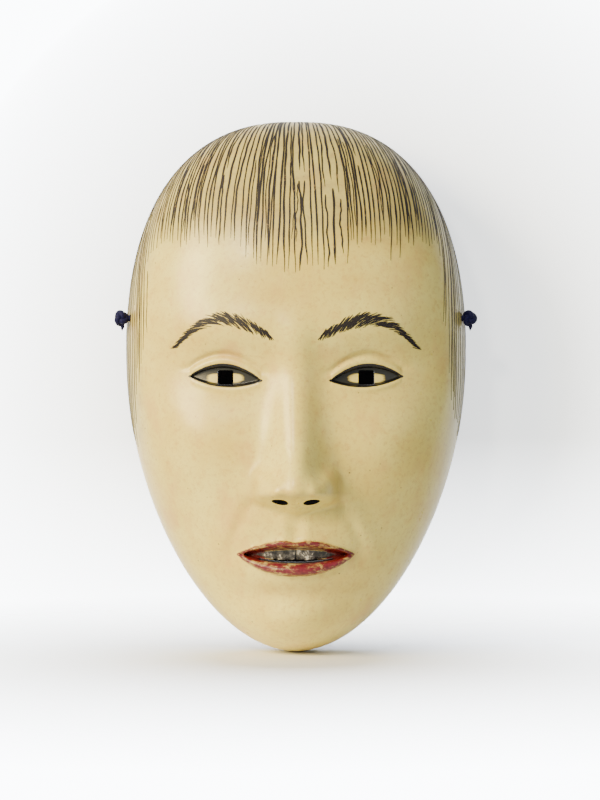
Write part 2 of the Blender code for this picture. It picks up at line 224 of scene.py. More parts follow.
# for each kind of node: Blender's name, the sockets its values go to, its settings, the output read;
# any other kind is an attribute of that name
nodeKinds = {
    "place": ("TexCoord", (), {}, "Object"),
    "way": ("TexCoord", (), {}, "Generated"),
    "layout": ("UVMap", (), {}, 0),
    "backfacing": ("NewGeometry", (), {}, "Backfacing"),
    "stretch": ("Mapping", ("Vector", "Scale"), {}, 0),
    "split": ("SeparateXYZ", (0,), {}, "Y"),
    "redness": ("SeparateColor", (0,), {}, 0),
    "noise": ("TexNoise", ("Vector", "grain", "Detail", "Roughness"), {}, "Fac"),  # grain in millimetres
    "cells": ("TexVoronoi", ("Vector", "grain", "Smoothness"), {}, "Distance"),
    "threads": ("TexWave", ("Vector", "Scale", "Distortion"), {}, "Fac"),
    "mix": ("Mix", (0, 6, 7), {"data_type": "RGBA", "clamp_factor": True}, 2),
    "between": ("MapRange", (0, 1, 2), {}, 0),  # 0 below the second value, 1 above the third
    "plus": ("Math", (0, 1), {"operation": "ADD"}, 0),
    "minus": ("Math", (0, 1), {"operation": "SUBTRACT"}, 0),
    "times": ("Math", (0, 1), {"operation": "MULTIPLY"}, 0),
    "power": ("Math", (0, 1), {"operation": "POWER"}, 0),
    "length": ("VectorMath", (0,), {"operation": "LENGTH"}, "Value"),
    "distance": ("VectorMath", (0, 1), {"operation": "DISTANCE"}, "Value"),
    "bump": ("Bump", ("Height", "Strength", "Distance"), {}, 0),
}


def addNode(tree, kind, *values, read=None, **settings):
    unknown = ("Attribute", (), {"attribute_name": kind}, "Fac")
    name, sockets, fixed, output = nodeKinds.get(kind, unknown)
    made = tree.nodes.new("ShaderNode" + name)
    for setting, value in {**fixed, **settings}.items():
        setattr(made, setting, value)
    for socket, value in zip(sockets, values):
        if socket == "grain":
            made.inputs["Scale"].default_value = 1 / (value * mm)
        elif isinstance(value, bpy.types.NodeSocket):
            tree.links.new(value, made.inputs[socket])
        else:
            made.inputs[socket].default_value = hexColour(value) if isinstance(value, str) else value
    return made.outputs[output if read is None else read]


def newMaterial(name, **sockets):  # the material, what adds a node to it, and the place on the object
    made = bpy.data.materials.new(name)
    made.use_nodes = True
    shader = made.node_tree.nodes["Principled BSDF"]
    for socket, value in sockets.items():
        value = hexColour(value) if isinstance(value, str) else value
        shader.inputs[socket.replace("_", " ")].default_value = value
    add = functools.partial(addNode, made.node_tree)
    return made, add, add("place")


def drive(made, **sockets):  # links patterns to the shader
    shader = made.node_tree.nodes["Principled BSDF"]
    for socket, value in sockets.items():
        made.node_tree.links.new(value, shader.inputs[socket.replace("_", " ")])
    return made


def gofunMaterial():
    # Gofun: ground oyster shell in animal glue, brushed on in many coats and burnished.
    # Gives a warm ivory with a low satin gloss, faint yellow clouds, dark specks, and grime with painted
    # shade in the folds.
    made, add, where = newMaterial("gofun", IOR=1.5)
    clouds = add("noise", where, 30, 4.0, 0.6)
    small = add("noise", where, 5, 4.0, 0.65)
    body = add("mix", add("between", clouds, 0.38, 0.66), "#EBDA78", "#DFC560")
    stain = add("between", small, 0.56, 0.74)
    body = add("mix", add("times", stain, 0.45), body, "#D0A450")
    pitSize = 4.2
    speck = add("minus", 1.0, add("between", add("cells", where, pitSize), 0.04, 0.10))
    chosen = add("between", add("redness", add("cells", where, pitSize, read="Color")), 0.50, 0.95)
    speck = add("times", speck, chosen)
    body = add("mix", speck, body, "#6E5228")
    freckles = add("noise", where, 1.7, 5.0, 0.75)
    body = add("mix", add("between", freckles, 0.50, 0.95), body, "#B98F4C")
    patches = add("noise", add("stretch", where, (1.3, 1, 0.8)), 17, 3.0, 0.6)
    body = add("mix", add("times", add("between", patches, 0.54, 0.72), 0.65), body, "#DAB362")
    # the folds darkened brown: grime, and painted shade where the creases would lie in shadow
    foldShadeAndGrime = add("times", add("fold"), add("plus", 0.45, small))
    body = add("mix", foldShadeAndGrime, body, "#8F6A33")
    greyed = add("times", add("hairWash"), add("plus", 0.12, add("times", small, 0.5)))
    body = add("mix", greyed, body, "#6E6C60")
    rub = add("between", add("plus", add("edgeWear"), add("times", small, 0.9)), 1.05, 1.22)
    body = add("mix", rub, body, "#8A6238")

    # the lips: vermilion rubbed thin, the ground showing through
    lipNoise = add("noise", add("stretch", where, (1, 1, 0.45)), 2.2, 5.0, 0.7)
    lipEdge = add("plus", add("lipEdge"), add("times", add("minus", lipNoise, 0.5), 1.1))
    onLip = add("between", lipEdge, -0.12, 0.22)
    worn = add("noise", add("stretch", where, (0.6, 1, 1.2)), 2.6, 6.0, 0.8)
    onLip = add("times", onLip, add("minus", 1.0, add("times", add("between", worn, 0.50, 0.60), 0.58)))
    red = add("between", add("noise", where, 1.1, 3.0, 0.55), 0.35, 0.7)
    body = add("mix", onLip, body, add("mix", red, "#591220", "#7A222F"))

    # the teeth: iron black, with grey patches painted on as a pewter sheen, chipped to white
    toothNoise = add("noise", where, 3.6, 4.0, 0.7)
    toothBlackAndSheen = add("mix", add("between", toothNoise, 0.40, 0.60), "#1C1A19", "#77746E")
    toothBlackAndSheen = add("mix", add("between", toothNoise, 0.56, 0.60), toothBlackAndSheen, "#DCD3BC")
    toothBlackAndSheen = add("mix", add("toothGap"), toothBlackAndSheen, "#0E0C0B")
    onTooth = add("between", add("toothEdge"), -0.05, 0.25)
    body = add("mix", onTooth, body, toothBlackAndSheen)
    # the mouth's corners darkened to a deep red: painted shade in the corners
    corner = add("between", add("mouthCorner"), 0.35, 0.75)
    body = add("mix", corner, body, "#6A1A14")

    # the eyes: a grey-brown wash over the white, and black lid lines
    brush = add("noise", add("stretch", where, (0.45, 1, 4.5)), 2.6, 4.0, 0.65)
    wash = add("plus", add("eyeWash"), add("times", add("minus", brush, 0.5), 0.8))
    body = add("mix", add("between", wash, 0.25, 0.75), body, "#26261E")
    line = add("plus", add("lidInk"), add("times", add("minus", brush, 0.5), 0.35))
    onLine = add("between", line, -0.10, 0.12)
    body = add("mix", onLine, body, "#0B0908")

    satin = add("plus", 0.22, add("times", small, 0.16))
    satin = add("plus", satin, add("times", add("fold"), 0.18))
    satin = add("minus", satin, add("times", onTooth, 0.18))
    brushed = add("noise", where, 1.4, 4.0, 0.6)
    uneven = add("noise", where, 9, 2.0, 0.5)
    height = add("plus", add("times", brushed, 0.25), uneven)
    height = add("minus", height, add("times", speck, 0.6))
    bump = add("bump", height, 0.35, 0.25 * mm)
    return drive(made, Base_Color=body, Roughness=satin, Normal=bump)


def lacquerMaterial():
    # Urushi lacquer over gouge marks: near-black brown, half gloss, worn to bare cypress on the rim.
    made, add, where = newMaterial("urushi_lacquer", IOR=1.52, Coat_Weight=0.25, Coat_Roughness=0.2)
    gouges = add("cells", where, 9, 0.25, feature="SMOOTH_F1")
    clouds = add("noise", where, 14, 4.0, 0.6)
    body = add("mix", add("between", clouds, 0.35, 0.7), "#2B1710", "#4A2B1B")
    grain = add("noise", add("stretch", where, (1, 1, 0.08)), 1.6, 3.0, 0.6)
    wood = add("mix", grain, "#B98B57", "#8A5F35")
    rubbed = add("plus", add("edgeWear"), add("times", add("noise", where, 4, 4.0, 0.55), 0.8))
    body = add("mix", add("between", rubbed, 1.44, 1.52), body, wood)
    gloss = add("plus", 0.28, add("times", clouds, 0.3))
    return drive(made, Base_Color=body, Roughness=gloss, Normal=add("bump", gouges, 0.8, 1.2 * mm))


def openingInkAndShadeMaterial():
    # Sumi ink soaked into the cut walls of the openings: matt black, partly the real ink and partly painted
    # shade, so that the pupils read dark.
    made, add, where = newMaterial("sumi_and_painted_shade_in_openings", Roughness=0.8, IOR=1.45)
    body = add("mix", add("noise", where, 2, 3.0, 0.55), "#0C0A09", "#231A14")
    return drive(made, Base_Color=body)


def inkMaterial(name, dark, pale, wearSize, wearFrom):
    # Brushed sumi ink: brown-black, matt, thinned where the brush ran dry or handling wore it.
    made, add, where = newMaterial(name, Roughness=0.6, IOR=1.45)
    dry = add("noise", where, wearSize, 5.0, 0.7)
    body = add("mix", add("between", dry, wearFrom, wearFrom + 0.12), dark, pale)
    return drive(made, Base_Color=body)


def silkMaterial():
    # Braided filament silk, dyed navy: dark, a little sheen, and each strand's crown painted lighter as a
    # painted highlight.
    sheen = {"Sheen_Weight": 0.05, "Sheen_Roughness": 0.4, "Sheen_Tint": "#3A4280"}
    made, add, where = newMaterial("silk_braid", Roughness=0.7, IOR=1.33, **sheen)
    # lighter on the crown of each strand, darker in the grooves: painted highlight and painted shade
    body = add("mix", add("strandRidge"), "#030312", "#0D0D42")
    fibre = add("noise", where, 0.35, 2.0, 0.5)  # single filaments are finer than the render shows
    return drive(made, Base_Color=body, Normal=add("bump", fibre, 0.3, 0.08 * mm))


def cottonMaterial():
    # Undyed plain-weave cotton over wadding: matt, creamy, threads about half a millimetre apart.
    made, add, where = newMaterial("cotton_cloth", Roughness=0.92, IOR=1.45, Sheen_Weight=0.2)
    flat = add("layout", uv_map="weave")
    weave = add("times", *(add("threads", flat, 0.314, 0.3, bands_direction=way) for way in "XY"))
    stain = add("noise", where, 12, 4.0, 0.6)
    body = add("mix", add("between", stain, 0.4, 0.75), "#D9CFB8", "#B9A683")
    # darker between the threads: painted shade in the gaps of the weave
    body = add("mix", add("times", add("minus", 1.0, weave), 0.25), body, "#8B7A5C")
    return drive(made, Base_Color=body, Normal=add("bump", weave, 0.6, 0.15 * mm))


def paperMaterial():
    # Kozo paper, folded: off-white, matt, with long loose fibres.
    made, add, where = newMaterial("kozo_paper", Roughness=0.85, IOR=1.45)
    fibres = add("noise", add("stretch", where, (1, 0.15, 1)), 1.5, 6.0, 0.75)
    body = add("mix", add("between", fibres, 0.4, 0.65), "#D8CCB0", "#EFE7D2")
    return drive(made, Base_Color=body, Normal=add("bump", fibres, 0.35, 0.1 * mm))


materials = {
    "gofun": gofunMaterial(),
    "lacquer": lacquerMaterial(),
    "inkAndShade": openingInkAndShadeMaterial(),
    "hairInk": inkMaterial("sumi_hair", "#1E1612", "#9A8158", 3.0, 0.60),
    "browInk": inkMaterial("sumi_brows", "#1C1512", "#5E4C36", 3.0, 0.64),
    "silk": silkMaterial(),
    "cotton": cottonMaterial(),
    "paper": paperMaterial(),
}
print("materials made")


# the silk cords

cord = {
    "diameter": 2.4,
    "sides": 22,
    "ringStep": 0.38,
    "strands": 4,  # one way round, and as many the other way
    "strandPitch": 9.0,
    "strandRelief": 0.07,  # share of the radius
    "hankTurns": 6,
    "hankFold": 3 * 2.4,
    "hankLength": 20 * 2.4,
    "hankAt": (34.5, 11.5, -44.0),
    "hankLean": 18.0,  # degrees
}
# the way of the right cord from its stop knot to its hank: across, depth, height
cordRoute = [
    (67.9, 18.0, 27.0),
    (65.7, 18.0, 27.0),
    (60.2, 18.0, 27.0),
    (56.4, 18.0, 27.0),
    (53.0, 17.9, 25.5),
    (51.5, 17.3, 22.0),
    (51.8, 14.3, 12.0),
    (52.0, 9.9, 0.0),
    (50.9, 6.4, -11.0),
    (49.2, 4.8, -18.0),
    (46.9, 4.3, -25.2),
]


def smoothThrough(points, step):  # places about a step apart on one smooth curve
    ends = [2 * points[0] - points[1], *points, 2 * points[-1] - points[-2]]
    fine = []
    for before, start, stop, after in zip(ends, ends[1:], ends[2:], ends[3:]):
        count = max(1, round((stop - start).length / step))
        for number in range(count):
            t = number / count
            bend = 2 * before - 5 * start + 4 * stop - after
            twist = 3 * start - before - 3 * stop + after
            fine.append(start + 0.5 * t * ((stop - before) + t * (bend + t * twist)))
    return [*fine, points[-1]]


def hankPlace(side):
    x, depth, z = cord["hankAt"]
    at = rimMiddle + Vector((side * x, -depth, z)) * mm
    return Matrix.Translation(at) @ Matrix.Rotation(side * math.radians(cord["hankLean"]), 4, "Y")


def hankTurns(side):  # turns side by side, from the wall inwards; each moves on to the next over the top
    place = hankPlace(side)
    fold, straight = cord["hankFold"], cord["hankLength"] / 2 - cord["hankFold"] - cord["diameter"] / 2
    bends = [(step / 12, math.cos(math.pi * step / 12), math.sin(math.pi * step / 12)) for step in range(12)]
    points = []
    for turn in range(cord["hankTurns"]):
        layer = (cord["hankTurns"] - 1) / 2 - turn
        points += [(layer, fold, straight * (1 - step / 4)) for step in range(8)]  # down the rear run
        points += [(layer, fold * c, -straight - fold * s) for _, c, s in bends]  # round the bottom
        points += [(layer, -fold, straight * (step / 4 - 1)) for step in range(8)]
        if turn < cord["hankTurns"] - 1:  # over the top, moving on by one cord
            points += [(layer - onward, -fold * c, straight + fold * s) for onward, c, s in bends]
    wobble = random.Random(4)
    row = []
    for layer, y, z in points:
        loose = 0.05 * math.sin(0.21 * z + 1.7 * layer) + wobble.uniform(-0.01, 0.01)
        row.append(place @ (Vector((side * (layer * cord["diameter"] + loose), y, z)) * mm))
    return row


def cordPath(side):
    route = [Vector(toRow(side * x, depth, z)) for x, depth, z in cordRoute]
    turns = hankTurns(side)
    place = hankPlace(side)
    top = cord["hankLength"] / 2 - 0.6
    last = -side * (cord["hankTurns"] - 1) / 2 * cord["diameter"]
    up = place @ (Vector((last, -cord["hankFold"], top)) * mm)
    return smoothThrough([*route, *turns, turns[-1].lerp(up, 0.5), up], cord["ringStep"] * mm)


def braidedTube(name, path, radius):  # a round braid, ridged where the strands cross over each other
    path = [Vector(p) for p in path]
    rings = len(path)
    tangents = []
    for i in range(rings):
        tangents.append((path[min(rings - 1, i + 1)] - path[max(0, i - 1)]).normalized())
    normal = tangents[0].orthogonal().normalized()
    frames = []
    for tangent in tangents:  # carried along without twist
        normal = (normal - tangent * normal.dot(tangent)).normalized()
        frames.append([normal, tangent.cross(normal)])
    along = np.cumsum([0] + [(b - a).length / mm for a, b in zip(path, path[1:])])
    tube = newGrid(name, cord["sides"], rings - 1, 1)
    flat = coords(tube) + 0.5
    ring = np.rint(flat[:, 1] * (rings - 1)).astype(int)
    angle = 2 * math.pi * flat[:, 0]
    rise = along[ring] / cord["strandPitch"] * cord["strands"]
    left, right = flat[:, 0] * cord["strands"] + rise, flat[:, 0] * cord["strands"] - rise
    over = (np.floor(2 * left) + np.floor(2 * right)) % 2
    ridge = np.abs(np.sin(2 * math.pi * np.where(over > 0, left, right))) ** 0.7
    reach = radius * (1 - cord["strandRelief"] * (1 - ridge)) * mm
    centre = np.array([p[:] for p in path])[ring]
    across = np.array([[v[:] for v in frame] for frame in frames])[ring]
    out = np.cos(angle)[:, None] * across[:, 0] + np.sin(angle)[:, None] * across[:, 1]
    setCoords(tube, centre + reach[:, None] * out)
    writeMark(tube, "strandRidge", ridge)
    tube.data.materials.append(materials["silk"])
    openEdit(tube, "VERT", "SELECT")
    bpy.ops.mesh.remove_doubles(threshold=1e-6)
    bpy.ops.mesh.select_all(action="DESELECT")
    bpy.ops.mesh.select_non_manifold()
    bpy.ops.mesh.edge_face_add()
    closeEdit(outward=True)
    bpy.ops.object.shade_smooth()
    return tube


knot = {
    "cordRadius": 1.42,
    "loop": 1.25,
    "steps": 130,
    "tailLength": 2.6,
    "tailStep": 0.25,
    "tailRadius": 0.8,
    "tailTaken": 1.0,  # of the tail's root, inside the knot
    "stopSize": (5.8, 6.0, 6.5),
    "endSize": (4.5, 4.5, 5.0),
}


def tiedKnot(name, node, size, tailWay):  # an overhand knot pulled tight, with its cut end showing
    low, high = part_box(node)
    centre = (low + high) / 2
    loops = []
    for step in range(knot["steps"] + 1):
        a = 2 * math.pi * step / knot["steps"]
        swing = knot["loop"] * (1.1 + 0.62 * math.cos(3 * a))
        place = (swing * math.cos(2 * a), 0.9 * knot["loop"] * math.sin(3 * a), swing * math.sin(2 * a))
        loops.append(Vector(place) * mm)
    ball = braidedTube(name, loops, knot["cordRadius"])
    places = coords(ball)
    low, high = places.min(0), places.max(0)
    setCoords(ball, (places - (low + high) / 2) * (np.array(size) * mm / (high - low)))
    steps = [knot["tailStep"] * number for number in range(int(knot["tailLength"] / knot["tailStep"]) + 1)]
    start = size[2] / 2 - knot["tailTaken"]
    tail = [Vector((0.25 * math.sin(s), 0.1 * s, tailWay * (start + s))) * mm for s in steps]
    end = braidedTube(name + "Tail", tail, knot["tailRadius"])
    shape = coords(end)
    down = (np.abs(shape[:, 2]) / mm - start) / knot["tailLength"]
    shape[:, :2] *= (1 - 0.7 * ease(down, 0.4, 1.0))[:, None]
    setCoords(end, shape)
    ball = joined([ball, end], name)
    setCoords(ball, coords(ball) + np.array(centre))
    return ball


cords = {}
for side, word in ((1, "right"), (-1, "left")):
    path = cordPath(side)
    rope = braidedTube(f"silkCord_{word}", path, cord["diameter"] / 2)
    stop = tiedKnot(f"stopKnot_{word}", f"stop_knot_{word}", knot["stopSize"], -1)
    end = tiedKnot(f"endKnot_{word}", f"end_knot_{word}", knot["endSize"], 1)
    length = sum((b - a).length for a, b in zip(path, path[1:]))
    cords[word] = {"rope": rope, "stop": stop, "end": end, "path": path, "length": length}
    print(f"cord {word}: {length:.3f} m in {len(path)} rings")


# paper bands round the hanks

band = {"width": 6.0, "thickness": 0.8, "gap": 0.3, "corner": 1.6, "crease": 0.12}


def paperBand(name, side):
    across = cord["hankTurns"] * cord["diameter"] + 2 * band["gap"]
    deep = 2 * cord["hankFold"] + cord["diameter"] + 2 * band["gap"]
    bpy.ops.mesh.primitive_cube_add(size=1)
    made = named(bpy.context.object, name)
    made.scale = (across * mm, deep * mm, band["width"] * mm)
    bakePlace(made)
    choose(made, "FACE", [abs(part.normal.z) > 0.5 for part in made.data.polygons])
    bpy.ops.mesh.delete(type="ONLY_FACE")
    closeEdit()
    rises = [np.ptp([made.data.vertices[v].co.z for v in edge.vertices]) for edge in made.data.edges]
    choose(made, "EDGE", [bool(rise > mm) for rise in rises])
    bpy.ops.mesh.bevel(offset=band["corner"] * mm, segments=5, affect="EDGES")
    bpy.ops.mesh.select_all(action="SELECT")
    bpy.ops.mesh.subdivide(number_cuts=3)
    closeEdit()
    places = coords(made)
    ripple = np.sin(places[:, 2] / mm * 1.9 + 0.5 * side) * np.sin((places[:, 0] + places[:, 1]) / mm * 0.7)
    out = places[:, :2] / np.linalg.norm(places[:, :2], axis=1)[:, None]
    places[:, :2] += out * (ripple * band["crease"] * mm)[:, None]
    setCoords(made, places)
    wall = made.modifiers.new("fold", "SOLIDIFY")
    wall.thickness = band["thickness"] * mm
    wall.offset = 1
    wall.use_even_offset = True
    edge = made.modifiers.new("edge", "BEVEL")
    edge.width = 0.12 * mm
    edge.segments = 2
    edge.limit_method = "ANGLE"
    applyAll(made)
    made.matrix_world = hankPlace(side)
    bakePlace(made)
    made.data.materials.append(materials["paper"])
    bpy.ops.object.shade_smooth_by_angle(angle=math.radians(35))
    return made


for side, word in ((1, "right"), (-1, "left")):
    tie = paperBand(f"paperBand_{word}", side)
    piece = cords[word]
    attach(piece["rope"], "root")
    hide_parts(f"cord_{word}", f"hank_{word}")
    for part, node, slot in (
        (piece["stop"], f"stop_knot_{word}", "silk_cord"),
        (piece["end"], f"end_knot_{word}", "silk_cord"),
        (tie, f"hank_tie_{word}", "paper_band"),
    ):
        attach(part, "root")
        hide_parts(node)
print("cords, knots and bands done")


# the carved shell: a dome, with the face's relief on it

def outlineReach(angle, inset):
    lift = np.sin(angle)
    above = carving["height"] / 2 - carving["widestHeight"] - inset
    below = carving["height"] / 2 + carving["widestHeight"] - inset
    chin, crown = carving["chinSquareness"], carving["crownSquareness"]
    square = chin + (crown - chin) * ease(lift, -1, 1)
    across = np.abs(np.cos(angle) / (carving["width"] / 2 - inset)) ** square
    return (across + np.abs(lift / np.where(lift > 0, above, below)) ** square) ** (-1 / square)


def fullness(angle):  # how boxy the dome is that way: the crown slopes back, the chin stands forward
    lift = np.sin(angle)
    return 0.80 + 0.10 * unit(lift) ** 2 - 0.06 * unit(-lift) ** 2


def domeDepth(x, z, inset):
    up = z - carving["widestHeight"]
    angle = np.arctan2(up, x)
    full = fullness(angle)
    share = unit(np.hypot(x, up) / outlineReach(angle, inset))
    return (carving["domeDepth"] - inset) * (1 - share ** (2 / full)) ** (full / 2)


def domePlaces(across, up, inset, relief):  # for places in a square from -1 to 1
    u, v = across * np.sqrt(1 - up**2 / 2), up * np.sqrt(1 - across**2 / 2)
    angle = np.arctan2(v, u)
    full = fullness(angle)
    quarter = unit(np.hypot(u, v)) ** (1 / full) * math.pi / 2
    reach = outlineReach(angle, inset) * np.sin(quarter) ** full
    x, z = reach * np.cos(angle), carving["widestHeight"] + reach * np.sin(angle)
    rise = unit(np.cos(quarter)) ** full
    return x, (carving["domeDepth"] - inset) * rise + relief(x, z) * ease(rise, 0.02, 0.3), z


face = {
    "noseRoot": eyeZ + 11.5,
    "noseTip": noseBase + 7.5,
    "noseHeight": 15.0,
    "wingAcross": 11.0,
    "nostrilAcross": 6.8,
    "nostrilSize": (6.4, 5.6),
    "nostrilSlant": 38.0,  # degrees
    "eyeAbove": 4.6,
    "eyeBelow": 2.9,
    "outerLift": 1.6,
    "eyeSetBack": 1.3,
    "pupil": (6.2, 5.6),
    "pupilUp": 1.2,
    "lipCorner": 23.0,
    "lipAbove": 6.4,
    "lipBelow": 8.4,
    "mouthHalf": 20.0,
    "mouthAbove": 3.0,
    "mouthBelow": 3.4,
    "teethBack": 4.2,
    "teethDrop": 1.6,
}
toothEdges = [0.0, 7.8, 13.8, 18.6]  # across, from the middle line


def eyeLids(x):  # share of the way from the inner corner, and the two lid edges' heights
    share = (np.abs(x) - eyeWidth / 2) / eyeWidth
    inside = unit(share)
    middle = eyeZ + face["outerLift"] * inside
    swell = np.sin(math.pi * inside) ** 0.85
    return share, middle + face["eyeAbove"] * swell, middle - face["eyeBelow"] * swell


def eyeInside(x, z):  # millimetres inside the lids, below 0 outside them
    share, top, bottom = eyeLids(x)
    past = np.maximum(np.abs(share - 0.5) - 0.5, 0) * eyeWidth
    return np.minimum(top - z, z - bottom) - past


def mouthLines(x):  # opening's top and bottom, lip's top and bottom
    s = unit(np.abs(x) / face["mouthHalf"])
    lens = (1 - s**2) ** 0.7
    t = unit(np.abs(x) / face["lipCorner"])
    bow = np.exp(-0.5 * (x / 2.4) ** 2) * 1.2
    slope = (1 - t**1.7) ** 0.85
    return (
        mouthZ + face["mouthAbove"] * lens,
        mouthZ - face["mouthBelow"] * lens,
        mouthZ + (face["lipAbove"] - bow) * slope,
        mouthZ - face["lipBelow"] * (1 - t**2.2) ** 0.9,
    )


def mouthInside(x, z, half="mouthHalf", lines=slice(0, 2)):
    top, bottom = mouthLines(x)[lines]
    return np.minimum(top - z, z - bottom) - np.maximum(np.abs(x) - face[half], 0)


def lipInside(x, z):
    return mouthInside(x, z, "lipCorner", slice(2, 4))


def toothShape(x):  # 1 in the middle of a tooth, 0 between two
    shape = np.zeros_like(x)
    for left, right in zip(toothEdges, toothEdges[1:]):
        share = (np.abs(x) - left) / (right - left)
        shape += np.where((share > 0) & (share < 1), unit(4 * share * (1 - share)) ** 0.35, 0)
    return shape


def noseRelief(x, z):
    root, tip = face["noseRoot"], face["noseTip"]
    down = np.clip((root - z) / (root - tip), 0, 1.25)
    bridge = face["noseHeight"] * (0.13 + 0.87 * down**1.2) * (1 - ease(z, root, root + 22))
    bridge = bridge * np.exp(-np.abs(x / (6.4 + 4.0 * down)) ** 2.2)
    ball = 2.8 * spot(x, z - tip, 6.6, 6.2)
    beside, above = (np.abs(x) - face["wingAcross"]) / 4.4, (z - tip + 3.2) / 5.4
    wings = 7.6 * np.exp(-0.5 * (np.abs(beside) ** 2.8 + np.abs(above) ** 2.8))
    crease = 1.3 * spot(np.abs(x) - 8.6, z - tip - 1.6, 1.5, 3.2)
    groove = 0.9 * spot(np.abs(x) - 16.4, z - tip + 2.0, 1.5, 5.0)
    under = ease(z, noseBase - 6.4 + 0.26 * np.abs(x), noseBase + 5.2 - 0.10 * np.abs(x))
    dent = 1.6 * spot(np.abs(x) - face["nostrilAcross"], z - noseBase + 1.0, 3.0, 2.4)
    return (bridge + ball + wings - crease) * under - groove - dent * under


def eyeRelief(x, z):
    share, top, bottom = eyeLids(x)
    alive = unit(1 - (2 * share - 1) ** 4) ** 0.5
    lid = 0.75 * np.exp(-(((z - top - 1.7) / 1.6) ** 2)) * alive
    wide = unit(1 - np.abs((share - 0.5) / 0.66) ** 3)
    crease = 1.15 * np.exp(-(((z - top - 4.9 + 1.2 * (2 * share - 1) ** 2) / 1.15) ** 2)) * wide
    lower = 0.5 * np.exp(-(((bottom - z - 1.4) / 1.2) ** 2)) * alive
    sink = face["eyeSetBack"] * ease(eyeInside(x, z), -0.15, 0.65)
    return lid - crease + lower - sink


def mouthRelief(x, z):
    openTop, openBottom, lipTop, lipBottom = mouthLines(x)
    t = unit(np.abs(x) / face["lipCorner"])
    fade = (1 - t**2.4) ** 0.6
    upper = unit((z - openTop) / np.maximum(lipTop - openTop, 0.6))
    lower = unit((openBottom - z) / np.maximum(openBottom - lipBottom, 0.6))
    above, below = z > (openTop + openBottom) / 2, z <= (openTop + openBottom) / 2
    full = np.where(above, 2.5 * np.sin(math.pi * (1 - upper) ** 0.62 * 0.98 + 0.02) ** 0.8, 0)
    full = np.where(below, 3.1 * np.sin(math.pi * (1 - lower) ** 0.70 * 0.98 + 0.02) ** 0.8, full)
    edge = 0.35 * np.exp(-0.5 * ((z - lipTop - 0.4) / 0.7) ** 2) * fade
    inside = mouthInside(x, z)
    teeth = ease(inside, -0.3, 0.9) * (face["teethBack"] - 0.75 * toothShape(x))
    rolled = np.clip(full, 0, 9) * fade * (1 - 0.5 * ease(inside, -0.3, 0.9))
    philtrum = -0.8 * spot(x, z - lipTop - 4.4, 2.0, 3.0)
    ridges = 0.45 * spot(np.abs(x) - 4.4, z - lipTop - 4.0, 1.5, 3.4)
    corner = -1.0 * spot(np.abs(x) - face["lipCorner"] - 1.2, z - mouthZ, 2.2, 2.4)
    return rolled + edge - teeth + philtrum + ridges + corner


def furrow(x, z):  # faint crease from the wing of the nose to beside the mouth
    share = np.clip((noseBase + 6 - z) / (noseBase + 6 - mouthZ + 4), -0.5, 1.5)
    off = np.abs(x) - (16.5 + 13.5 * np.clip(share, 0, 2) ** 1.3)
    along = np.exp(-(((share - 0.45) / 0.42) ** 2))
    return along * (0.55 * np.exp(-((off - 3.6) / 3.2) ** 2) - 0.75 * np.exp(-(off / 2.0) ** 2))


# depth, across, height, half width, half height
faceForms = [
    (-7.2, eyeWidth, eyeZ + 2, 14.5, 10.0),  # eye sockets
    (2.6, 23.0, browZ + 2, 16.0, 7.0),  # brows
    (3.6, eyeWidth, eyeZ, 10.5, 6.8),  # eyeballs under their lids
    (2.6, 37.0, eyeZ - 25, 13.0, 14.0),  # cheekbones
    (-1.4, 42.0, mouthZ + 6, 11.0, 16.0),  # below the cheekbones
    (4.6, 0, mouthZ + 1, 21.0, 14.0),  # mound of the mouth
    (-3.4, 0, mouthZ - 15.5, 16.0, 4.8),  # under the lower lip
    (9.0, 0, chinZ + 15, 17.0, 11.0),  # chin
    (-1.2, 52.0, browZ - 4, 7.0, 14.0),  # temples
]
hollowForms = [
    (10.0, 0, noseBase + 14, 7.0, 12.0),  # behind the nose
    (3.0, 0, mouthZ, 20.0, 8.0),  # behind the lips
    (-4.0, 20.0, eyeZ + 2, 13.0, 10.0),  # wood left behind the eye sockets
]


def faceRelief(x, z):
    total = noseRelief(x, z) + eyeRelief(x, z) + mouthRelief(x, z) + furrow(x, z)
    return total + sum(amount * hump(x, z, *form) for amount, *form in faceForms)


def hollowRelief(x, z):
    return sum(amount * hump(x, z, *form) for amount, *form in hollowForms)


def noRelief(x, z):
    return 0 * x


def facePlace(x, z):  # millimetres forward of the rim, on the carved front
    x, z = np.asarray(x, dtype=float), np.asarray(z, dtype=float)
    return domeDepth(x, z, 0) + faceRelief(x, z)


shell = {
    "frontColumns": 118,
    "frontRows": 176,
    "hollowColumns": 59,
    "hollowRows": 88,
    "rimBevel": 0.7,
}


def refine(obj, wanted):  # cuts each chosen face of the flat grid in four
    flat = coords(obj)
    centres = np.array([flat[list(face.vertices)].mean(0) for face in obj.data.polygons])
    x, _, z = domePlaces(centres[:, 0], centres[:, 1], 0, noRelief)
    choose(obj, "FACE", wanted(x, z))
    bpy.ops.mesh.subdivide(number_cuts=1)
    closeEdit()


def nearFeatures(x, z):
    eyes = (np.abs(np.abs(x) - eyeWidth) < 17) & (z > eyeZ - 6) & (z < eyeZ + 13)
    mouth = (np.abs(x) < 27) & (np.abs(z - mouthZ + 1) < 13)
    nose = (np.abs(x) < 20) & (z > noseBase - 7) & (z < noseBase + 20)
    return eyes | mouth | nose


def nearEdges(x, z):
    eyes = (eyeInside(x, z) > -3.0) & (np.abs(np.abs(x) - eyeWidth) < 16)
    mouth = (lipInside(x, z) > -1.5) & (np.abs(x) < 26)
    nostrils = (np.abs(x) < 16) & (np.abs(z - noseBase) < 6)
    return eyes | mouth | nostrils


def nearLines(x, z):
    eyes = (np.abs(eyeInside(x, z)) < 1.1) & (np.abs(np.abs(x) - eyeWidth) < 16)
    mouth = (np.abs(mouthInside(x, z)) < 1.1) & (np.abs(x) < 24)
    return eyes | mouth


